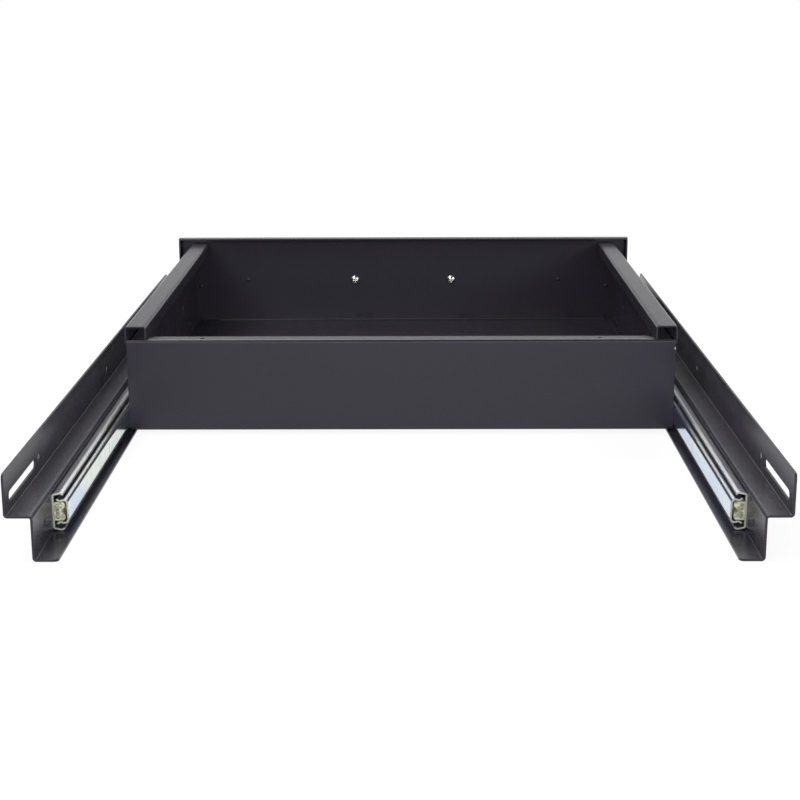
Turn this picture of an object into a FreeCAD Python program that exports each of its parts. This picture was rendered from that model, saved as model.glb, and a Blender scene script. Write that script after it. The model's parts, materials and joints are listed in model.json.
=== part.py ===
import FreeCAD, Part
import math
import os
from FreeCAD import Vector

# Sliding rack drawer: a folded steel tray on two ball-bearing slides, carried by two Z-shaped brackets.
# Millimetres. +X is the right-hand side for someone facing the drawer, +Y points to the back of the
# rack, +Z is up. The origin lies under the middle of the whole object, on the face it stands on.

# ---------------------------------------------------------------- driving dimensions

# front panel: a shallow pan with a return along all four edges
panel_width = 444.0
panel_height = 88.1
panel_lift = 0.9
panel_sheet = 1.5
panel_return = 12.0
panel_bend = 2.5
panel_seam = 0.6

# tray: floor, front wall and sides from one sheet, the tops of the sides folded inwards
tray_width = 416.0
tray_depth = 410.0
tray_height = 79.9
tray_lift = 4.3
tray_sheet = 1.2
tray_bend = 2.5
tray_flange = 15.0
tray_lip = 11.0
channel_flare = 1.3
channel_flare_drop = 13.0
channel_flare_bend = 0.6
floor_leg = 12.0
corner_relief = 6.0
front_wall_drop = 1.0

# slots punched at the foot of the tray's front wall
wall_slot_width = 6.0
wall_slot_height = 4.5
wall_slot_pitch = 103.6
wall_slot_shift = -12.0
twin_slot_pitch = 10.0

# rear plate, folded forwards at the top and under the floor
rear_sheet = 1.2
rear_height = 70.8
rear_bend = 2.3
rear_flange = 13.0
rear_lower_flange = 12.0
rear_flange_mitre = 5.0
rear_hole_d = 3.5
rear_hole_span = 302.0

# mounting brackets
bracket_length = 681.0
bracket_sheet = 1.5
bracket_bend = 2.5
bracket_wall = 27.4
bracket_step = 16.0
bracket_flange = 27.3
bracket_foot = 15.6
bracket_corner = 3.0
mount_slot_width = 6.4
mount_slot_length = 73.5
mount_slot_margin = 11.0
mount_slot_rise = 10.0
pilot_hole_d = 3.6
pilot_hole_margin = 93.0
pilot_hole_rise = 1.4
spare_hole_margin = 31.5

# ball-bearing slides
slide_thickness = 10.4
slide_axis_height = 14.3
slide_front_margin = 28.0
slide_rear_margin = 53.0
slide_travel = 420.0
rail_sheet = 1.2
outer_rail_corner = 1.8
outer_arm_slope = 12.0
outer_lip_slope = 45.0
inner_arm_slope = 45.0
inner_shoulder_slope = 35.0
inner_shoulder_bend = 1.8
inner_rail_corner = 3.1
ball_d = 3.2
ball_row_height = 9.45
balls_per_row = 6
ball_pitch = 24.0
cage_sheet = 0.5
cage_rim = 0.55
cage_bend = 0.9
catch_slit_width = 1.0
catch_slit_heights = (7.0, 4.8)
catch_slit_margins = (145.0, 163.0)
bumper_length = 9.0
bumper_stud_d = 4.0
bumper_notch_height = 6.0
bumper_notch_depth = 3.0
bumper_pocket_depth = 2.5
bumper_wall = 0.9
stop_lug_width = 8.0
stop_lug_reach = 3.6

# rivets and screws
rivet_d = 4.0
rivet_head_d = 6.2
rivet_head_height = 1.0
rivet_dome_d = 6.4
rivet_dome_height = 1.5
outer_rivet_count = 4
outer_rivet_margin = 37.0
inner_rivet_count = 4
inner_rivet_margin = 25.0
panel_rivet_scale = 0.65
panel_rivet_span = 310.0
corner_rivet_margin = 5.5
corner_rivet_drop = 6.5

# handle and its screws
handle_pitch = 96.0
handle_height = 45.5
handle_reach = 32.0
handle_bar_d = 9.0
handle_bend = 13.0
handle_foot_d = 13.0
handle_foot_height = 3.0
screw_d = 4.0
screw_head_d = 7.9
screw_head_height = 3.0
screw_engagement = 7.0
recess_width = 1.1
recess_span = 4.6
recess_depth = 1.6

# clearances
bracket_front_gap = 3.5
race_clearance = 0.25
cage_clearance = 0.3
lip_clearance = 1.0
arm_clearance = 0.8
shoulder_clearance = 1.4
bumper_clearance = 0.45
bumper_web_gap = 1.1
stop_clearance = 0.3
hole_clearance = 0.15
thread_clearance = 0.05
fold_clearance = 0.4
flange_clearance = 0.8

# ---------------------------------------------------------------- places worked out from them

front_reach = bracket_front_gap + panel_return + bracket_length
panel_front_y = handle_reach - (handle_reach + front_reach) / 2
panel_back_y = panel_front_y + panel_sheet
panel_top_z = panel_lift + panel_height
handle_z = panel_lift + handle_height

tray_half = tray_width / 2
tray_top_z = tray_lift + tray_height
tray_floor_z = tray_lift + tray_sheet
tray_side_y = panel_back_y + tray_sheet + fold_clearance
tray_rear_y = panel_back_y + tray_depth
tray_side_end_y = tray_rear_y - rear_sheet
opening_half = tray_half - tray_flange

bracket_front_y = panel_front_y + panel_return + bracket_front_gap
bracket_rear_y = bracket_front_y + bracket_length
wall_x = tray_half + slide_thickness
mount_slot_z = bracket_wall + mount_slot_rise

slide_front_y = bracket_front_y + slide_front_margin
slide_rear_y = bracket_rear_y - slide_rear_margin
slide_length = slide_rear_y - slide_front_y
ball_u = slide_thickness / 2
race_r = ball_d / 2 + race_clearance
cage_length = balls_per_row * ball_pitch

X_AXIS = Vector(1, 0, 0)
Y_AXIS = Vector(0, 1, 0)
Z_AXIS = Vector(0, 0, 1)
EPS = 0.01


# ---------------------------------------------------------------- shape helpers

def box(low, high):
    """Upright box between two corners."""
    size = Vector(*high) - Vector(*low)
    return Part.makeBox(size.x, size.y, size.z, Vector(*low))


def rod(start, axis, radius, length):
    """Round rod that starts at a point and runs along an axis."""
    return Part.makeCylinder(radius, length, start, axis)


def rounded_edges(points, radii):
    """Edges along a row of points, each inner corner rounded by its own radius."""
    edges = []
    start = points[0]
    for before, corner, after, radius in zip(points, points[1:], points[2:], radii):
        back = (before - corner).normalize()
        ahead = (after - corner).normalize()
        half_angle = back.getAngle(ahead) / 2
        bisector = (back + ahead).normalize()
        run = radius / math.tan(half_angle)
        centre = corner + bisector * (radius / math.sin(half_angle))
        arc_start = corner + back * run
        arc_end = corner + ahead * run
        edges.append(Part.LineSegment(start, arc_start).toShape())
        edges.append(Part.Arc(arc_start, centre - bisector * radius, arc_end).toShape())
        start = arc_end
    edges.append(Part.LineSegment(start, points[-1]).toShape())
    return edges


def sheet_section(points, radii, thickness, normal):
    """Section of a folded sheet. The points follow one face of the sheet, and its thickness lies to
    the left of that path, seen against the normal."""
    directions = [(b - a).normalize() for a, b in zip(points, points[1:])]
    lefts = [normal.cross(direction) for direction in directions]
    other_points = [points[0] + lefts[0] * thickness]
    other_radii = []
    for index, corner in enumerate(points[1:-1]):
        before, after = lefts[index], lefts[index + 1]
        mitre = (before + after) * (thickness / (1 + before.dot(after)))
        other_points.append(corner + mitre)
        turn = directions[index].cross(directions[index + 1]).dot(normal)
        other_radii.append(radii[index] - math.copysign(thickness, turn))
    other_points.append(points[-1] + lefts[-1] * thickness)
    edges = rounded_edges(points, radii)
    edges.append(Part.LineSegment(points[-1], other_points[-1]).toShape())
    edges += rounded_edges(other_points, other_radii)
    edges.append(Part.LineSegment(other_points[0], points[0]).toShape())
    return Part.Face(Part.Wire(Part.__sortEdges__(edges)))


def rounded_plate(corners, radii, depth):
    """Prism over a polygon whose corners are rounded. A radius of 0 leaves a corner sharp."""
    count = len(corners)
    edges = []
    ends = []
    for index, radius in enumerate(radii):
        corner = corners[index]
        back = (corners[index - 1] - corner).normalize()
        ahead = (corners[(index + 1) % count] - corner).normalize()
        if radius == 0:
            ends.append((corner, corner))
            continue
        half_angle = back.getAngle(ahead) / 2
        bisector = (back + ahead).normalize()
        run = radius / math.tan(half_angle)
        middle = corner + bisector * (radius / math.sin(half_angle) - radius)
        ends.append((corner + back * run, corner + ahead * run))
        edges.append(Part.Arc(ends[-1][0], middle, ends[-1][1]).toShape())
    for index in range(count):
        edges.append(Part.LineSegment(ends[index - 1][1], ends[index][0]).toShape())
    return Part.Face(Part.Wire(Part.__sortEdges__(edges))).extrude(depth)


def long_slot(centre, length, width, depth):
    """Slot with round ends that runs along Y and is cut along X, centred on a point."""
    radius = width / 2
    reach = length / 2
    corners = [Vector(centre.x - depth / 2, centre.y + a * reach, centre.z + b * radius)
               for a, b in ((-1, -1), (1, -1), (1, 1), (-1, 1))]
    return rounded_plate(corners, [radius - EPS] * 4, X_AXIS * depth)


def dome_arc(rim, crown):
    """Arc in the XZ plane from a rim up to a crown on the Z axis, as on a ball's cap."""
    rise = crown.z - rim.z
    radius = (rim.x ** 2 + rise ** 2) / (2 * rise)
    centre_z = crown.z - radius
    angle = (math.atan2(rim.z - centre_z, rim.x) + math.pi / 2) / 2
    middle = Vector(radius * math.cos(angle), 0, centre_z + radius * math.sin(angle))
    return Part.Arc(rim, middle, crown).toShape()


def flush_rivet(face_point, axis, grip, scale=1.0):
    """Rivet with a flush countersunk head at a face, a shank through the grip and a low dome beyond.
    The axis points from the flush head into the sheets."""
    half_head, half_shank, half_dome = rivet_head_d * scale / 2, rivet_d * scale / 2, rivet_dome_d * scale / 2
    profile = [Vector(0, 0, 0), Vector(half_head, 0, 0), Vector(half_shank, 0, rivet_head_height * scale),
               Vector(half_shank, 0, grip), Vector(half_dome, 0, grip)]
    edges = [Part.LineSegment(a, b).toShape() for a, b in zip(profile, profile[1:])]
    crown = Vector(0, 0, grip + rivet_dome_height * scale)
    edges.append(dome_arc(profile[-1], crown))
    edges.append(Part.LineSegment(crown, profile[0]).toShape())
    solid = Part.Face(Part.Wire(edges)).revolve(Vector(), Z_AXIS, 360)
    return turned(solid, axis, face_point)


def rivet_hole(face_point, axis, depth, countersunk, scale=1.0):
    """What a rivet needs taken out of its sheets."""
    radius = rivet_d * scale / 2 + hole_clearance
    hole = rod(face_point - axis * EPS, axis, radius, depth + 2 * EPS)
    if not countersunk:
        return hole
    top = rivet_head_d * scale / 2 + hole_clearance
    cone = Part.makeCone(top, radius, rivet_head_height * scale + hole_clearance, face_point, axis)
    return hole.fuse(cone)


def turned(solid, axis, place):
    """Solid drawn along +Z, turned to an axis and moved to a place."""
    moved = solid.copy()
    moved.Placement = FreeCAD.Placement(place, FreeCAD.Rotation(Z_AXIS, axis))
    return moved


def joined(shapes):
    """One solid out of touching or overlapping shapes."""
    return shapes[0].fuse(shapes[1:]).removeSplitter()


def spaced(first, last, count):
    """Evenly spaced values from first to last."""
    return [first + (last - first) * index / (count - 1) for index in range(count)]


def mirrored(shape):
    """The left-hand copy of a right-hand piece."""
    return shape.mirror(Vector(), X_AXIS)


def export(name, shape):
    """Write one node, after checking that all its solids are sound."""
    shape.fix(EPS, EPS, EPS)
    solids = shape.Solids
    if not shape.isValid() or not solids:
        raise RuntimeError(name + " is not a sound solid")
    shape.exportStep("parts/" + name + ".step")
    print(name, len(solids), "solids", round(shape.Volume / 1000, 2), "cm3")


# ---------------------------------------------------------------- front panel, handle and screws

def panel_perimeter(solid, y):
    """Edges of a box that lie in the plane y."""
    return [edge for edge in solid.Edges
            if abs(edge.BoundBox.YMin - y) < EPS and abs(edge.BoundBox.YMax - y) < EPS]


def make_front_panel():
    half = panel_width / 2
    back = panel_front_y + panel_return
    outside = box((-half, panel_front_y, panel_lift), (half, back, panel_top_z))
    outside = outside.makeFillet(panel_bend, panel_perimeter(outside, panel_front_y))
    t = panel_sheet
    inside = box((-half + t, panel_back_y, panel_lift + t), (half - t, back + 1, panel_top_z - t))
    inside = inside.makeFillet(panel_bend - t, panel_perimeter(inside, panel_back_y))
    panel = outside.cut(inside)
    cuts = []
    for x in (-half - EPS, half - t - EPS):
        for z in (panel_lift + t, panel_top_z - t - panel_seam):
            cuts.append(box((x, panel_front_y + panel_bend, z), (x + t + 2 * EPS, back + 1, z + panel_seam)))
    for x in (-handle_pitch / 2, handle_pitch / 2):
        cuts.append(rod(Vector(x, panel_front_y - 1, handle_z), Y_AXIS, screw_d / 2 + hole_clearance, 10))
    for point in panel_rivet_points():
        cuts.append(rivet_hole(point, Y_AXIS, panel_sheet, True, panel_rivet_scale))
    return panel.cut(cuts)


def panel_rivet_points():
    """Where the flush heads lie in the panel's face."""
    points = [Vector(side * panel_rivet_span / 2, panel_front_y, handle_z) for side in (-1, 1)]
    corner_z = handle_z - corner_rivet_drop
    corner_x = tray_half - corner_rivet_margin
    points += [Vector(side * corner_x, panel_front_y, corner_z) for side in (-1, 1)]
    return points


def make_panel_rivets():
    grip = panel_sheet + tray_sheet
    return Part.makeCompound([flush_rivet(point, Y_AXIS, grip, panel_rivet_scale)
                              for point in panel_rivet_points()])


def make_handle():
    half = handle_pitch / 2
    bar_y = panel_front_y - handle_reach + handle_bar_d / 2
    path = [Vector(-half, panel_front_y, handle_z), Vector(-half, bar_y, handle_z),
            Vector(half, bar_y, handle_z), Vector(half, panel_front_y, handle_z)]
    spine = Part.Wire(rounded_edges(path, [handle_bend] * 2))
    ring = Part.Wire(Part.Circle(path[0], Y_AXIS, handle_bar_d / 2).toShape())
    pieces = [spine.makePipeShell([ring], True, False)]
    for x in (-half, half):
        foot = rod(Vector(x, panel_front_y, handle_z), -Y_AXIS, handle_foot_d / 2, handle_foot_height)
        rim = [edge for edge in foot.Edges if abs(edge.BoundBox.YMax - foot.BoundBox.YMin) < EPS]
        pieces.append(foot.makeFillet(handle_foot_height / 3, rim))
    handle = joined(pieces)
    depth = screw_engagement + 2
    bores = [rod(Vector(x, panel_front_y + EPS, handle_z), -Y_AXIS, screw_d / 2 + thread_clearance, depth)
             for x in (-half, half)]
    return handle.cut(bores)


def make_pan_screw(head_point, grip):
    """Pan-head screw driven along -Y, with a cross recess in its head."""
    half = screw_head_d / 2
    side = screw_head_height * 0.45
    points = [Vector(0, 0, 0), Vector(half, 0, 0), Vector(half, 0, side)]
    edges = [Part.LineSegment(a, b).toShape() for a, b in zip(points, points[1:])]
    crown = Vector(0, 0, screw_head_height)
    edges.append(dome_arc(points[-1], crown))
    edges.append(Part.LineSegment(crown, points[0]).toShape())
    head = Part.Face(Part.Wire(edges)).revolve(Vector(), Z_AXIS, 360)
    shank = Part.makeCylinder(screw_d / 2, grip + screw_engagement, Vector(), -Z_AXIS)
    low = screw_head_height - recess_depth
    wide, thin = recess_span / 2, recess_width / 2
    cross = [box((-wide, -thin, low), (wide, thin, screw_head_height)),
             box((-thin, -wide, low), (thin, wide, screw_head_height))]
    screw = joined([head, shank]).cut(cross)
    return turned(screw, Y_AXIS, head_point)


def make_handle_screws():
    head_y = panel_back_y + tray_sheet
    return Part.makeCompound([make_pan_screw(Vector(x, head_y, handle_z), panel_sheet + tray_sheet)
                              for x in (-handle_pitch / 2, handle_pitch / 2)])


# ---------------------------------------------------------------- tray and rear plate

def make_tray():
    top, low = tray_top_z, tray_lift
    y = tray_side_y
    outer = tray_half + channel_flare
    flare_z = top - channel_flare_drop
    right = [(tray_half, low), (tray_half, flare_z - channel_flare), (outer, flare_z), (outer, top),
             (opening_half, top), (opening_half, top - tray_lip)]
    path = [Vector(-x, y, z) for x, z in reversed(right)] + [Vector(x, y, z) for x, z in right]
    radii = [tray_bend, channel_flare_bend, channel_flare_bend + tray_sheet, tray_bend, tray_bend]
    section = sheet_section(path, radii[::-1] + radii, tray_sheet, -Y_AXIS)
    channel = section.extrude(Y_AXIS * (tray_side_end_y - tray_side_y))

    wall_half = tray_half - fold_clearance
    wall_path = [Vector(-wall_half, panel_back_y, top - front_wall_drop), Vector(-wall_half, panel_back_y, low),
                 Vector(-wall_half, panel_back_y + floor_leg, low)]
    wall_section = sheet_section(wall_path, [tray_bend], tray_sheet, X_AXIS)
    wall = wall_section.extrude(X_AXIS * 2 * wall_half)

    wall = wall.cut(corner_boxes(panel_back_y + floor_leg + 1))
    tray = joined([channel.cut(corner_boxes(panel_back_y + corner_relief)), wall])

    bend_room = box((-tray_half - 1, tray_rear_y - rear_bend, low - 1), (tray_half + 1, tray_rear_y, tray_floor_z))
    cuts = [bend_room]
    foot_z = tray_floor_z + tray_bend - tray_sheet
    for x in wall_slot_places():
        cuts.append(box((x - wall_slot_width / 2, panel_back_y - 1, foot_z),
                        (x + wall_slot_width / 2, panel_back_y + tray_sheet + 1, foot_z + wall_slot_height)))
    for x in (-handle_pitch / 2, handle_pitch / 2):
        cuts.append(rod(Vector(x, panel_back_y - 1, handle_z), Y_AXIS, screw_d / 2 + hole_clearance, 10))
    for point in panel_rivet_points():
        cuts.append(rivet_hole(point + Y_AXIS * panel_sheet, Y_AXIS, tray_sheet, False, panel_rivet_scale))
    for y in inner_rivet_places():
        for side in (-1, 1):
            cuts.append(rivet_hole(Vector(side * tray_half, y, slide_axis_height), -X_AXIS * side, tray_sheet, False))
    return tray.cut(cuts)


def corner_boxes(end_y):
    """Room at the tray's two lower front corners, from the panel back to end_y."""
    boxes = []
    for side in (-1, 1):
        near, far = side * (tray_half - corner_relief), side * (tray_half + 1)
        boxes.append(box((min(near, far), panel_back_y - 1, tray_lift - 1),
                         (max(near, far), end_y, tray_lift + corner_relief)))
    return boxes


def wall_slot_places():
    """Single slots at the two ends of the row, twin slots at its two middle places."""
    places = []
    for step in (-1.5, -0.5, 0.5, 1.5):
        middle = wall_slot_shift + step * wall_slot_pitch
        shifts = (-twin_slot_pitch / 2, twin_slot_pitch / 2) if abs(step) < 1 else (0.0,)
        places += [middle + shift for shift in shifts]
    return places


def make_rear_plate():
    low = tray_lift - rear_sheet
    top = low + rear_height
    path = [Vector(-tray_half, tray_rear_y - rear_lower_flange, low), Vector(-tray_half, tray_rear_y, low),
            Vector(-tray_half, tray_rear_y, top), Vector(-tray_half, tray_rear_y - rear_flange, top)]
    section = sheet_section(path, [rear_bend] * 2, rear_sheet, X_AXIS)
    plate = section.extrude(X_AXIS * tray_width)
    flange_half = opening_half - flange_clearance
    front = tray_rear_y - rear_flange
    cuts = []
    for side in (-1, 1):
        near, far = side * flange_half, side * (tray_half + 1)
        cuts.append(box((min(near, far), front - 1, top - rear_bend - 1),
                        (max(near, far), tray_side_end_y, top + 1)))
        tip = Vector(near, front - EPS, top - rear_sheet - 1)
        corners = [tip, tip - X_AXIS * side * rear_flange_mitre, tip + Y_AXIS * rear_flange_mitre]
        cuts.append(rounded_plate(corners, [0, 0, 0], Z_AXIS * (rear_sheet + 2)))
        hole = Vector(side * rear_hole_span / 2, tray_rear_y - rear_flange / 2, top - rear_sheet - 1)
        cuts.append(rod(hole, Z_AXIS, rear_hole_d / 2, rear_sheet + 2))
    return plate.cut(cuts)


# ---------------------------------------------------------------- brackets

def make_right_bracket():
    flange_x = wall_x + bracket_sheet + bracket_step
    outer_x = wall_x + bracket_sheet
    y = bracket_front_y
    top = bracket_wall + bracket_flange
    path = [Vector(outer_x - bracket_foot, y, 0), Vector(outer_x, y, 0), Vector(outer_x, y, bracket_wall),
            Vector(flange_x, y, bracket_wall), Vector(flange_x, y, top)]
    outer, inner = bracket_bend, bracket_bend - bracket_sheet
    section = sheet_section(path, [outer, inner, outer], bracket_sheet, -Y_AXIS)
    bracket = section.extrude(Y_AXIS * bracket_length)

    low_x, high_x = outer_x - bracket_foot, flange_x + 1
    side_view = [Vector(low_x - 1, y, -1), Vector(low_x - 1, bracket_rear_y, -1),
                 Vector(low_x - 1, bracket_rear_y, top), Vector(low_x - 1, y, top)]
    side_plate = rounded_plate(side_view, [0, 0, bracket_corner, bracket_corner], X_AXIS * 60)
    top_view = [Vector(high_x, y, -1), Vector(high_x, bracket_rear_y, -1), Vector(low_x, bracket_rear_y, -1),
                Vector(low_x, y, -1)]
    top_plate = rounded_plate(top_view, [0, 0, bracket_corner, bracket_corner], Z_AXIS * (top + 2))
    bracket = bracket.common(side_plate).common(top_plate)

    cuts = []
    middle_x = flange_x - bracket_sheet / 2
    for y_slot in mount_slot_places():
        cuts.append(long_slot(Vector(middle_x, y_slot, mount_slot_z), mount_slot_length, mount_slot_width, 10))
    for y_hole in (bracket_front_y + pilot_hole_margin, (bracket_front_y + bracket_rear_y) / 2,
                   bracket_rear_y - pilot_hole_margin):
        hole_place = Vector(middle_x - 5, y_hole, mount_slot_z + pilot_hole_rise)
        cuts.append(rod(hole_place, X_AXIS, pilot_hole_d / 2, 10))
    wall_holes = outer_rivet_places() + [bracket_rear_y - spare_hole_margin]
    for y_hole in wall_holes:
        cuts.append(rivet_hole(Vector(wall_x, y_hole, slide_axis_height), X_AXIS, bracket_sheet, False))
    return bracket.cut(cuts)


def mount_slot_places():
    reach = mount_slot_margin + mount_slot_length / 2
    return [bracket_front_y + reach, bracket_rear_y - reach]


# ---------------------------------------------------------------- slides (right-hand side)

def slide_point(u, v, y):
    """Point of the slide's section: u from the bracket's wall towards the tray, v above its axis."""
    return Vector(wall_x - u, y, slide_axis_height + v)


def race_corner(radius, angle_a, angle_b):
    """Where two tangents of a circle about the upper ball row meet. The angles are those of their
    normals, in degrees, from the direction that points at the tray."""
    a, b = math.radians(angle_a), math.radians(angle_b)
    scale = radius / (1 + math.cos(a - b))
    return (ball_u + (math.cos(a) + math.cos(b)) * scale,
            ball_row_height + (math.sin(a) + math.sin(b)) * scale)


def mirrored_path(half, y):
    """Section path from its upper half, listed from the far end to the slide's own axis."""
    lower = [slide_point(u, -v, y) for u, v in half]
    upper = [slide_point(u, v, y) for u, v in reversed(half)]
    return lower + upper


def outer_rail_path(y):
    """Outside of the outer rail, from lip to lip round its web."""
    radius = race_r + rail_sheet
    arm_normal = 90 + outer_arm_slope
    lip_normal = 90 - outer_lip_slope
    crest = race_corner(radius, arm_normal, lip_normal)
    slope = math.radians(outer_lip_slope)
    inner_drop = race_r * math.sin(math.radians(lip_normal)) - lip_clearance
    run = inner_drop / math.sin(slope)
    normal = math.radians(lip_normal)
    lip_end = (ball_u + radius * math.cos(normal) + run * math.cos(slope),
               ball_row_height + radius * math.sin(normal) - run * math.sin(slope))
    arm = math.radians(arm_normal)
    web_corner = (0.0, ball_row_height + (radius + ball_u * math.cos(arm)) / math.sin(arm))
    return mirrored_path([lip_end, crest, web_corner], y), [radius, outer_rail_corner,
                                                            outer_rail_corner, radius]


def inner_rail_path(y):
    """Ball side of the inner rail, from arm end to arm end round its web."""
    valley = race_corner(race_r, 270 - inner_arm_slope, 270 + inner_shoulder_slope)
    arm_top = ball_row_height - arm_clearance
    arm_end = (valley[0] - (arm_top - valley[1]) / math.tan(math.radians(inner_arm_slope)), arm_top)
    ridge_top = ball_row_height - shoulder_clearance
    ridge = (valley[0] + (ridge_top - valley[1]) / math.tan(math.radians(inner_shoulder_slope)), ridge_top)
    web_corner = (slide_thickness, ridge_top)
    radii = [race_r, inner_shoulder_bend, inner_rail_corner]
    return mirrored_path([arm_end, valley, ridge, web_corner], y), radii + radii[::-1]


def stop_lug(u_from, u_to, y_face, direction):
    """Tongue pushed out of a rail's web. Its stop face lies at y_face."""
    y_other = y_face + direction * rail_sheet * 2
    low = slide_point(u_to, -stop_lug_width / 2, min(y_face, y_other))
    high = slide_point(u_from, stop_lug_width / 2, max(y_face, y_other))
    return box(tuple(low), tuple(high))


def outer_rivet_places():
    return spaced(slide_front_y + outer_rivet_margin, slide_rear_y - outer_rivet_margin, outer_rivet_count)


def inner_rivet_places():
    return spaced(slide_front_y + inner_rivet_margin, tray_side_end_y - inner_rivet_margin, inner_rivet_count)


def make_outer_rail():
    path, radii = outer_rail_path(slide_front_y)
    rail = sheet_section(path, radii, rail_sheet, -Y_AXIS).extrude(Y_AXIS * slide_length)
    cuts = [rivet_hole(slide_point(rail_sheet, 0, y), X_AXIS, rail_sheet, True) for y in outer_rivet_places()]
    for y in bumper_places():
        cuts.append(rod(slide_point(rail_sheet + 1, 0, y), X_AXIS, bumper_stud_d / 2 + hole_clearance, 5))
    return rail.cut(cuts)


def make_inner_rail():
    path, radii = inner_rail_path(slide_front_y)
    rail = sheet_section(path, radii, rail_sheet, Y_AXIS).extrude(Y_AXIS * slide_length)
    web_u = slide_thickness - rail_sheet
    closing_face = slide_rear_y - bumper_length - stop_clearance
    opening_face = slide_front_y + bumper_length + stop_clearance + slide_travel
    lugs = [stop_lug(web_u - stop_lug_reach, web_u + rail_sheet / 2, closing_face, -1),
            stop_lug(web_u - stop_lug_reach, web_u + rail_sheet / 2, opening_face, 1)]
    rail = joined([rail] + lugs)
    cuts = [rivet_hole(slide_point(web_u, 0, y), -X_AXIS, rail_sheet, True) for y in inner_rivet_places()]
    for height, margin in zip(catch_slit_heights, catch_slit_margins):
        y = slide_rear_y - margin
        cuts.append(box(tuple(slide_point(slide_thickness + 1, -height / 2, y - catch_slit_width / 2)),
                        tuple(slide_point(web_u - 1, height / 2, y + catch_slit_width / 2))))
    return rail.cut(cuts)


def make_outer_rivets():
    grip = rail_sheet + bracket_sheet
    return Part.makeCompound([flush_rivet(slide_point(rail_sheet, 0, y), X_AXIS, grip)
                              for y in outer_rivet_places()])


def make_inner_rivets():
    web_u = slide_thickness - rail_sheet
    grip = rail_sheet + tray_sheet
    return Part.makeCompound([flush_rivet(slide_point(web_u, 0, y), -X_AXIS, grip)
                              for y in inner_rivet_places()])


def bumper_places():
    return [slide_front_y + bumper_length / 2, slide_rear_y - bumper_length / 2]


def make_bumper(y_middle):
    """Plastic stop inside the rails' hollow, pressed into the outer rail's web by a stud. It is notched
    on the side opposite the stud, and each end face has two pockets with a rib between them."""
    y = y_middle - bumper_length / 2
    top_u = slide_thickness - rail_sheet - bumper_web_gap
    notch_u = top_u - bumper_notch_depth
    half_height = ball_row_height - race_r - rail_sheet - bumper_clearance
    half_notch = bumper_notch_height / 2
    half = [(rail_sheet, half_height), (top_u, half_height), (top_u, half_notch)]
    corners = [slide_point(u, v, y) for u, v in half + [(notch_u, 0)]]
    corners += [slide_point(u, -v, y) for u, v in reversed(half)]
    soft_corner = inner_rail_corner - rail_sheet
    radii = [0.5, soft_corner, 0.5, 0.5, 0.5, soft_corner, 0.5]
    block = rounded_plate(corners, radii, Y_AXIS * bumper_length)
    stud = rod(slide_point(rail_sheet, 0, y_middle), X_AXIS, bumper_stud_d / 2, rail_sheet)
    low_u, high_u = rail_sheet + bumper_wall, notch_u - bumper_wall
    low_v, high_v = bumper_wall / 2, half_height - bumper_wall
    pockets = []
    for side in (-1, 1):
        for start in (y - 1, y + bumper_length - bumper_pocket_depth):
            pocket = [slide_point(u, side * v, start) for u, v in
                      ((low_u, low_v), (high_u, low_v), (high_u, high_v), (low_u, high_v))]
            pockets.append(rounded_plate(pocket, [0.8] * 4, Y_AXIS * (bumper_pocket_depth + 1)))
    return joined([block, stud]).cut(pockets)


def cage_middle_y():
    """At rest the cage lies where it ends inside both rails at full travel."""
    return (slide_front_y + slide_rear_y) / 2


def ball_places():
    reach = ball_pitch * (balls_per_row - 1) / 2
    middle = cage_middle_y()
    return [(side * ball_row_height, y) for side in (-1, 1)
            for y in spaced(middle - reach, middle + reach, balls_per_row)]


def make_ball_cage():
    web_u = rail_sheet + cage_clearance
    rim_u = ball_u + ball_d / 2 + hole_clearance + cage_rim
    height = ball_row_height + cage_sheet / 2
    start = cage_middle_y() - cage_length / 2
    path = mirrored_path([(rim_u, height), (web_u, height)], start)
    cage = sheet_section(path, [cage_bend] * 2, cage_sheet, -Y_AXIS).extrude(Y_AXIS * cage_length)
    radius = ball_d / 2 + hole_clearance
    return cage.cut([rod(slide_point(ball_u, v - 1, y), Z_AXIS, radius, 2) for v, y in ball_places()])


def make_balls():
    return Part.makeCompound([Part.makeSphere(ball_d / 2, slide_point(ball_u, v, y)) for v, y in ball_places()])


# ---------------------------------------------------------------- build

def main():
    os.makedirs("parts", exist_ok=True)
    export("front_panel", make_front_panel())
    export("handle", make_handle())
    export("handle_screws", make_handle_screws())
    export("panel_rivets", make_panel_rivets())
    export("tray", make_tray())
    export("rear_plate", make_rear_plate())
    front_bumper_y, rear_bumper_y = bumper_places()
    right_pieces = {
        "bracket": make_right_bracket(),
        "outer_rail": make_outer_rail(),
        "outer_rail_rivets": make_outer_rivets(),
        "front_bumper": make_bumper(front_bumper_y),
        "rear_bumper": make_bumper(rear_bumper_y),
        "ball_cage": make_ball_cage(),
        "balls": make_balls(),
        "inner_rail": make_inner_rail(),
        "inner_rail_rivets": make_inner_rivets(),
    }
    for name, shape in right_pieces.items():
        export("right_" + name, shape)
        export("left_" + name, mirrored(shape))


main()
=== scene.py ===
import bpy
import json
import math
from mathutils import Matrix, Vector


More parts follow.
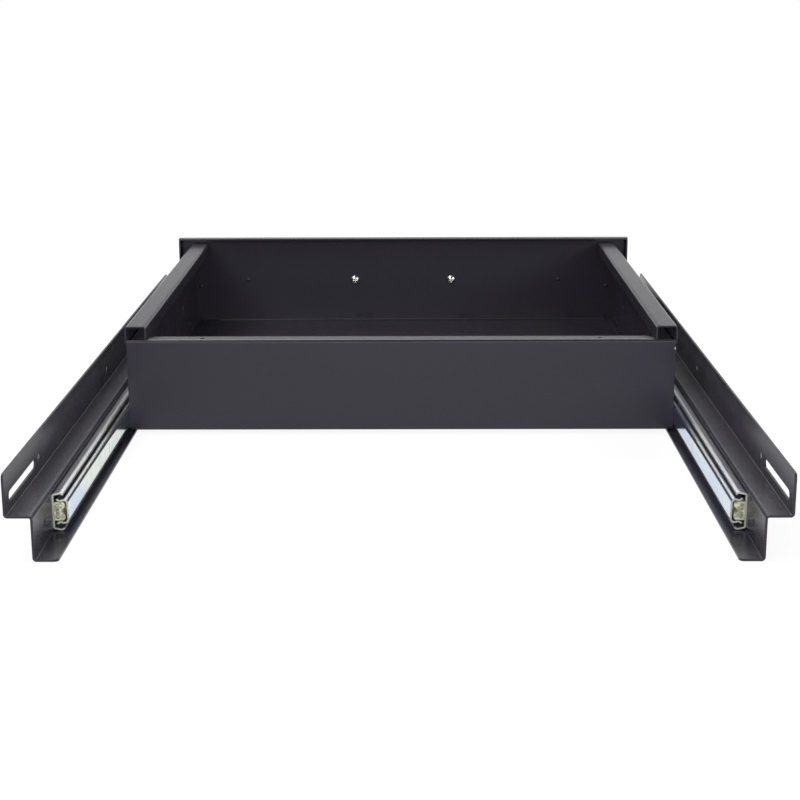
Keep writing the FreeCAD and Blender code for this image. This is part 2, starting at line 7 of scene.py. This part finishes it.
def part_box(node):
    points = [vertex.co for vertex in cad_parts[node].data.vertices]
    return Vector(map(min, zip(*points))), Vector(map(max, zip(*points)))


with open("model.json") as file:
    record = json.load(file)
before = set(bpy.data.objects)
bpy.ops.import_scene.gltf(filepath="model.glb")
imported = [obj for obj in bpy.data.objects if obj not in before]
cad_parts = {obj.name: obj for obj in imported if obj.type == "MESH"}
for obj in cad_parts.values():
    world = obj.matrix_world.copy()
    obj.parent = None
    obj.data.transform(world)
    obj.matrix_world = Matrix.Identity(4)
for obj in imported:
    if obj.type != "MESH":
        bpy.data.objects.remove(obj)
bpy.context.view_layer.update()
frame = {"nodes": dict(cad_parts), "record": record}

MM = 0.001
PILOT_MARGIN = 93 * MM       # small bracket holes, from the bracket's ends
PILOT_HEIGHT = 38.8 * MM
NICK_HEIGHT = 67 * MM        # bare nick in the rear plate's edge
RACE_OUT = 5.2 * MM          # raceways in a slide's section, out from the bracket's wall
RACE_OFF_AXIS = 9.45 * MM


# ---------------------------------------------------------------- shader tools

class Value:
    """A number or colour that changes over a surface. Its operators add their Math nodes."""

    def __init__(self, finish, socket):
        self.finish = finish
        self.socket = socket

    def math(self, operation, *others):
        return self.finish.node("ShaderNodeMath", {"operation": operation}, (self,) + others)

    def __add__(self, other):
        return self.math("ADD", other)

    def __radd__(self, other):
        return self.math("ADD", other)

    def __sub__(self, other):
        return self.math("SUBTRACT", other)

    def __rsub__(self, other):
        return self.finish.node("ShaderNodeMath", {"operation": "SUBTRACT"}, (other, self))

    def __mul__(self, other):
        return self.math("MULTIPLY", other)

    def __rmul__(self, other):
        return self.math("MULTIPLY", other)

    def __pow__(self, other):
        return self.math("POWER", other)

    def size(self):
        """The value without its sign."""
        return self.math("ABSOLUTE")

    def clamped(self):
        return self.finish.node("ShaderNodeClamp", {}, {"Value": self})

    def over(self, low, high):
        """0 below low, 1 above high and a soft step between. With high under low it runs the other way."""
        sockets = {"Value": self, "From Min": low, "From Max": high}
        return self.finish.node("ShaderNodeMapRange", {"interpolation_type": "SMOOTHSTEP"}, sockets)


class Finish:
    """The nodes of one material or of the world."""

    def __init__(self, owner):
        owner.use_nodes = True
        self.tree = owner.node_tree
        self.tree.nodes.clear()

    def node(self, kind, settings=None, inputs=(), output=0):
        """Add a node with its settings and the values or links of its sockets, by place or by name."""
        node = self.tree.nodes.new(kind)
        for name, setting in (settings or {}).items():
            if name == "stops":
                self.set_stops(node.color_ramp, setting)
            else:
                setattr(node, name, setting)
        pairs = inputs.items() if isinstance(inputs, dict) else enumerate(inputs)
        for key, value in pairs:
            self.feed(node.inputs[key], value)
        return Value(self, node.outputs[output]) if node.outputs else node

    def feed(self, socket, value):
        """Link a socket to a value, or set it. Colours are given as three numbers."""
        if isinstance(value, Value):
            self.tree.links.new(value.socket, socket)
        elif socket.type == "RGBA":
            socket.default_value = tuple(value) + (1.0,)
        else:
            socket.default_value = value

    @staticmethod
    def set_stops(ramp, stops):
        while len(ramp.elements) < len(stops):
            ramp.elements.new(0.5)
        for element, (place, colour) in zip(ramp.elements, stops):
            element.position = place
            element.color = colour

    def place(self, scale=(1.0, 1.0, 1.0), turn=(0.0, 0.0, 0.0)):
        """Object coordinates in metres, stretched and turned."""
        plain = self.node("ShaderNodeTexCoord", output="Object")
        return self.node("ShaderNodeMapping", {}, {"Vector": plain, "Scale": scale, "Rotation": turn})

    def parts_of(self, vector):
        """The three components of a vector."""
        return [self.node("ShaderNodeSeparateXYZ", {}, (vector,), axis) for axis in "XYZ"]

    def place_parts(self):
        """Object coordinates in metres, as three values."""
        return self.parts_of(self.node("ShaderNodeTexCoord", output="Object"))

    def facing_parts(self):
        """Which way the surface faces, as three values from -1 to 1."""
        return self.parts_of(self.node("ShaderNodeTexCoord", output="Normal"))

    def noise(self, size, detail=2.0, roughness=0.5, stretch=(1.0, 1.0, 1.0), output="Fac"):
        """Noise from 0 to 1 with grains about as large as size, in metres."""
        where = self.place(scale=stretch)
        sockets = {"Vector": where, "Scale": 1.0 / size, "Detail": detail, "Roughness": roughness}
        return self.node("ShaderNodeTexNoise", {}, sockets, output)

    def ramp(self, value, *stops):
        """Grey levels along a value: each stop is (place, level)."""
        levels = [(place, (level, level, level, 1.0)) for place, level in stops]
        return self.node("ShaderNodeValToRGB", {"stops": levels}, {"Fac": value})

    def mix(self, factor, first, second, blend="MIX"):
        """Colour between two colours."""
        settings = {"data_type": "RGBA", "blend_type": blend}
        return self.node("ShaderNodeMix", settings, {0: factor, 6: first, 7: second}, 2)

    def bump(self, height, distance, strength=1.0, under=None):
        """Normal raised by a height from 0 to 1 over a distance in metres."""
        sockets = {"Height": height, "Distance": distance, "Strength": strength}
        if under is not None:
            sockets["Normal"] = under
        return self.node("ShaderNodeBump", {}, sockets)

    def soft_edges(self, radius):
        """Normal that rounds the sharp cut edges of sheet metal."""
        return self.node("ShaderNodeBevel", {"samples": 4}, {"Radius": radius})


def new_material(name, surface):
    """Material whose sockets are given by name on one Principled shader, made by a function."""
    material = bpy.data.materials.new(name)
    finish = Finish(material)
    shader = finish.node("ShaderNodeBsdfPrincipled", {}, surface(finish), "BSDF")
    finish.node("ShaderNodeOutputMaterial", {}, {"Surface": shader})
    return material


# ---------------------------------------------------------------- finishes

def distance(first, second):
    """Length of two offsets at right angles."""
    return (first * first + second * second) ** 0.5


def bare_nick_and_hole_glints(finish):
    """1 where the coat has burnt off or never reached, at a nick in the rear plate's edge; 0.4 on the hole
    walls of the
    brackets, which are painted pale: a painted highlight of the glints in the holes."""
    across, along, up = finish.place_parts()
    bracket_low, bracket_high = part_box("left_bracket")
    plate_low, plate_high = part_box("rear_plate")
    hole_ends = (bracket_low.y + PILOT_MARGIN, bracket_high.y - PILOT_MARGIN,
                 (bracket_low.y + bracket_high.y) / 2)
    hole_glints = None
    for hole_y in hole_ends:
        # a pale ring on each hole wall: painted highlight of the glint in the hole
        wall = distance(along - hole_y, up - PILOT_HEIGHT).over(1.95 * MM, 1.85 * MM)
        hole_glints = wall if hole_glints is None else hole_glints + wall
    nick = distance(distance(across - plate_low.x, along - plate_high.y), up - NICK_HEIGHT)
    return (hole_glints * 0.4 + nick.over(1.2 * MM, 0.6 * MM)).clamped()


def powder_coat(finish, colour=(0.0275, 0.0245, 0.0350), gloss=0.22):
    """Fine-textured powder coat: matt grain over a slightly rippled film, with a bare nick and pale hole
    walls that are a painted highlight of the glints in the bracket holes.
    """
    grain = finish.noise(0.45 * MM, detail=3.0, roughness=0.6)
    ripple = finish.noise(2.4 * MM, detail=1.0)
    cloud = finish.noise(60 * MM, detail=3.0)
    speck = finish.ramp(grain, (0.45, 0.0), (0.75, 1.0))
    pale = tuple(channel * 1.35 for channel in colour)
    deep = tuple(channel * 0.88 for channel in colour)
    base = finish.mix(cloud, deep, colour)
    base = finish.mix(speck * 0.35, base, pale)
    # bare nick in the rear plate, and hole walls mixed towards pale grey as a painted highlight of their
    # glints
    bare_and_glint = bare_nick_and_hole_glints(finish)
    film = finish.bump(ripple, 0.05 * MM, 0.25, finish.soft_edges(0.35 * MM))
    return {
        "Base Color": finish.mix(bare_and_glint, base, (0.62, 0.61, 0.58)),
        "Metallic": bare_and_glint * 0.6,
        "Roughness": gloss + grain * 0.12 - cloud * 0.04,
        "Specular IOR Level": 0.25,
        "Normal": finish.bump(grain, 0.02 * MM, 0.35, film),
    }


def handle_coat(finish):
    """Satin black coat of the handle, smoother than the powder."""
    grain = finish.noise(0.6 * MM, detail=2.0)
    cloud = finish.noise(25 * MM, detail=2.0)
    return {
        "Base Color": finish.mix(cloud, (0.012, 0.012, 0.013), (0.018, 0.017, 0.020)),
        "Roughness": 0.26 + grain * 0.10,
        "Normal": finish.bump(grain, 0.01 * MM, 0.3, finish.soft_edges(0.3 * MM)),
    }


def slide_place(finish):
    """Where a point lies in a slide's section: out from the bracket's wall, and up or down from its axis."""
    across, along, up = finish.place_parts()
    rail_low, rail_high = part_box("right_outer_rail")
    middle = (rail_low.z + rail_high.z) / 2
    return rail_high.x - across.size(), (up - middle).size(), along


def slide_zinc(finish):
    """Bright zinc with a pale passivation that clouds into blue, green and violet, rolled lengthwise. The
    raceways and the gap behind the inner rail are painted dark as painted shade of these recesses with some
    grease, handled tops are duller, flat tops are darkened as a painted reflection of the dark powder coat,
    and cut ends are pale and matt."""
    rolled = finish.noise(0.35 * MM, detail=3.0, stretch=(1.0, 0.02, 1.0))
    cloud = finish.noise(34 * MM, detail=2.0, stretch=(1.0, 0.45, 1.0))
    stain = finish.noise(15 * MM, detail=3.0, roughness=0.6)
    smear = finish.noise(5 * MM, detail=3.0, roughness=0.7, stretch=(1.0, 0.3, 1.0))
    tint = finish.mix(finish.ramp(cloud, (0.42, 0.0), (0.58, 1.0)), (0.44, 0.56, 0.78), (0.66, 0.70, 0.64))
    tint = finish.mix(finish.ramp(stain, (0.50, 0.0), (0.62, 0.75)), tint, (0.46, 0.64, 0.55))
    tint = finish.mix(finish.ramp(smear, (0.58, 0.0), (0.70, 0.60)), tint, (0.50, 0.46, 0.84))
    _, facing_along, facing_up = finish.facing_parts()
    out, off_axis, along = slide_place(finish)
    # raceways and the gap behind the inner rail: painted shade of these recesses, darkened with some grease
    # too
    race = distance(out - RACE_OUT, off_axis - RACE_OFF_AXIS)
    back = out.over(2.6 * MM, 1.9 * MM) * out.over(0.5 * MM, 0.8 * MM)
    back = back * off_axis.over(5.6 * MM, 6.2 * MM)
    grease_and_cavity_shade = (race.over(2.6 * MM, 2.3 * MM) + back).clamped()
    handled = facing_up.over(0.35, 0.90) * (1.0 - grease_and_cavity_shade)
    cut = facing_along.size().over(0.90, 0.98)
    # flat upward-facing tops are darkened with fine ribs: a painted reflection of the dark powder coat
    rib = finish.node("ShaderNodeTexWave", {"wave_type": "BANDS", "bands_direction": "Y"},
                      {"Vector": finish.place(), "Scale": 0.16 / MM, "Distortion": 1.2, "Detail": 2.0}, "Fac")
    dark_top_reflection = facing_up.over(0.90, 0.97) * (0.50 + rib * 0.35)
    tint = finish.mix(handled * 0.6, tint, (0.66, 0.63, 0.66))
    tint = finish.mix(dark_top_reflection * (1.0 - grease_and_cavity_shade), tint, (0.27, 0.26, 0.29))
    tint = finish.mix(grease_and_cavity_shade * 0.9, tint, (0.045, 0.043, 0.036))
    tint = finish.mix(cut, tint, finish.mix(smear, (0.40, 0.41, 0.35), (0.72, 0.73, 0.66)))
    worn = finish.bump(rolled, 0.01 * MM, 0.2, finish.soft_edges(0.25 * MM))
    return {
        "Base Color": tint,
        "Metallic": 1.0 - (grease_and_cavity_shade * 0.5 + cut * 0.7).clamped(),
        "Roughness": 0.09 + rolled * 0.07 + stain * 0.05 + handled * 0.14 + cut * 0.4 + grease_and_cavity_shade * 0.15,
        "Normal": worn,
    }


def bright_zinc(finish):
    grain = finish.noise(0.3 * MM, detail=2.0)
    return {
        "Base Color": finish.mix(grain, (0.66, 0.66, 0.67), (0.84, 0.84, 0.84)),
        "Metallic": 1.0,
        "Roughness": 0.20 + grain * 0.15,
        "Normal": finish.bump(grain, 0.02 * MM, 0.3, finish.soft_edges(0.2 * MM)),
    }


def cage_steel(finish):
    grain = finish.noise(0.4 * MM, detail=2.0, stretch=(1.0, 0.05, 1.0))
    return {
        "Base Color": finish.mix(grain, (0.50, 0.51, 0.52), (0.64, 0.65, 0.66)),
        "Metallic": 1.0,
        "Roughness": 0.28 + grain * 0.12,
        "Normal": finish.bump(grain, 0.02 * MM, 0.3),
    }


def ball_steel(finish):
    haze = finish.noise(1.0 * MM, detail=1.0)
    return {
        "Base Color": finish.mix(haze, (0.72, 0.72, 0.74), (0.86, 0.86, 0.88)),
        "Metallic": 1.0,
        "Roughness": 0.06 + haze * 0.05,
    }


def stop_plastic(finish):
    """Natural translucent plastic with an olive cast."""
    cloud = finish.noise(2.2 * MM, detail=2.0)
    flow = finish.noise(0.9 * MM, detail=2.0, stretch=(1.0, 1.0, 0.5))
    return {
        "Base Color": finish.mix(finish.ramp(cloud, (0.38, 0.0), (0.62, 1.0)),
                                 (0.42, 0.43, 0.28), (0.86, 0.86, 0.72)),
        "Roughness": 0.14 + flow * 0.12,
        "Subsurface Weight": 0.35,
        "Subsurface Radius": (0.0022, 0.0022, 0.0014),
        "Normal": finish.bump(flow, 0.15 * MM, 0.5, finish.soft_edges(0.4 * MM)),
    }


FINISHES = {
    "black_powder": powder_coat,
    "handle_black": handle_coat,
    "slide_zinc": slide_zinc,
    "bright_zinc": bright_zinc,
    "cage_steel": cage_steel,
    "ball_steel": ball_steel,
    "stop_plastic": stop_plastic,
}


def dress_nodes():
    """Give every CAD node the finish of its material slot."""
    materials = {slot: new_material(slot, surface) for slot, surface in FINISHES.items()}
    for part in frame["record"]["subparts"]:
        node = frame["nodes"][part["node"]]
        node.data.materials.clear()
        node.data.materials.append(materials[part["material_slot"]])


# ---------------------------------------------------------------- studio

def visible_ray(finish):
    """1 for rays from the camera, from gloss and through clear plastic; 0 for rays that carry light."""
    rays = [finish.node("ShaderNodeLightPath", output=name)
            for name in ("Is Camera Ray", "Is Glossy Ray", "Is Transmission Ray")]
    return (rays[0] + rays[1] + rays[2]).clamped()


def make_floor(size=12.0, drop=0.0004):
    mesh = bpy.data.meshes.new("floor")
    half = size / 2
    corners = [(-half, -half, -drop), (half, -half, -drop), (half, half, -drop), (-half, half, -drop)]
    mesh.from_pydata(corners, [], [(0, 1, 2, 3)])
    floor = bpy.data.objects.new("floor", mesh)
    bpy.context.scene.collection.objects.link(floor)
    material = bpy.data.materials.new("floor_paper")
    finish = Finish(material)
    paper = finish.node("ShaderNodeBsdfDiffuse", {}, {"Color": (0.82, 0.82, 0.82)})
    glow = finish.node("ShaderNodeEmission", {}, {"Color": (1.0, 1.0, 1.0), "Strength": 1.06})
    across, along, up = finish.place_parts()
    share = visible_ray(finish) * (0.85 + distance(across, along).over(0.9, 2.2) * 0.15)
    surface = finish.node("ShaderNodeMixShader", {}, (share, paper, glow))
    finish.node("ShaderNodeOutputMaterial", {}, {"Surface": surface})
    mesh.materials.append(material)


def make_world(level=0.10, dark=0.03):
    """White to the eye, a little even light on matt surfaces, and in gloss a dark room with a white
    backdrop that rises about 11 degrees behind the drawer's front."""
    world = bpy.data.worlds.new("studio")
    bpy.context.scene.world = world
    finish = Finish(world)
    eye = finish.node("ShaderNodeLightPath", output="Is Camera Ray")
    clear = finish.node("ShaderNodeLightPath", output="Is Transmission Ray")
    gloss = finish.node("ShaderNodeLightPath", output="Is Glossy Ray")
    across, along, up = finish.parts_of(finish.node("ShaderNodeTexCoord", output="Generated"))
    paper = finish.ramp(up, (0.185, 1.0), (0.225, 0.2), (0.38, 0.2), (0.46, dark))
    seen = dark + along.over(0.05, -0.05) * (paper - dark)
    strength = level + (eye + clear).clamped() * (1.0 - level) + gloss * (seen - level)
    surface = finish.node("ShaderNodeBackground", {}, {"Color": (1.0, 1.0, 1.0), "Strength": strength})
    finish.node("ShaderNodeOutputWorld", {}, {"Surface": surface})


def make_lamp(name, place, target, size, power):
    data = bpy.data.lights.new(name, "AREA")
    data.shape = "RECTANGLE"
    data.size, data.size_y = size
    data.energy = power
    lamp = bpy.data.objects.new(name, data)
    bpy.context.scene.collection.objects.link(lamp)
    lamp.location = place
    lamp.rotation_mode = "QUATERNION"
    lamp.rotation_quaternion = (Vector(target) - Vector(place)).to_track_quat("-Z", "Y")
    lamp.visible_camera = False


def make_camera(place, yaw, pitch, roll, lens):
    """Camera behind the drawer. Angles in radians: yaw from the Y axis, pitch below the horizon."""
    data = bpy.data.cameras.new("camera")
    data.lens = lens
    data.clip_end = 100.0
    camera = bpy.data.objects.new("camera", data)
    bpy.context.scene.collection.objects.link(camera)
    turn = Matrix.Rotation(math.pi + yaw, 4, "Z") @ Matrix.Rotation(math.pi / 2 - pitch, 4, "X")
    camera.matrix_world = Matrix.Translation(place) @ turn @ Matrix.Rotation(roll, 4, "Z")
    bpy.context.scene.camera = camera


def make_studio():
    make_floor()
    make_world()
    make_lamp("overhead_left", (0.9, 0.3, 1.7), (0.0, 0.0, 0.0), (0.9, 1.4), 21.0)
    make_lamp("front_box", (0.0, -2.0, 1.8), (0.0, 0.0, 0.0), (2.2, 1.0), 47.0)
    make_lamp("behind_right", (-1.7, 1.5, 0.9), (0.0, 0.0, 0.0), (1.0, 0.7), 24.0)
    make_lamp("behind_low", (0.0, 2.4, 0.5), (0.0, 0.0, 0.1), (1.6, 0.6), 18.0)
    make_lamp("high_left", (1.1, 1.9, 1.5), (0.0, 0.0, 0.0), (1.0, 0.8), 13.0)
    make_camera((-0.00774, 1.2979, 0.3399), 0.0070, 0.2514, -0.0034, 74.18)
    bpy.context.scene.view_settings.view_transform = "Standard"


dress_nodes()
make_studio()
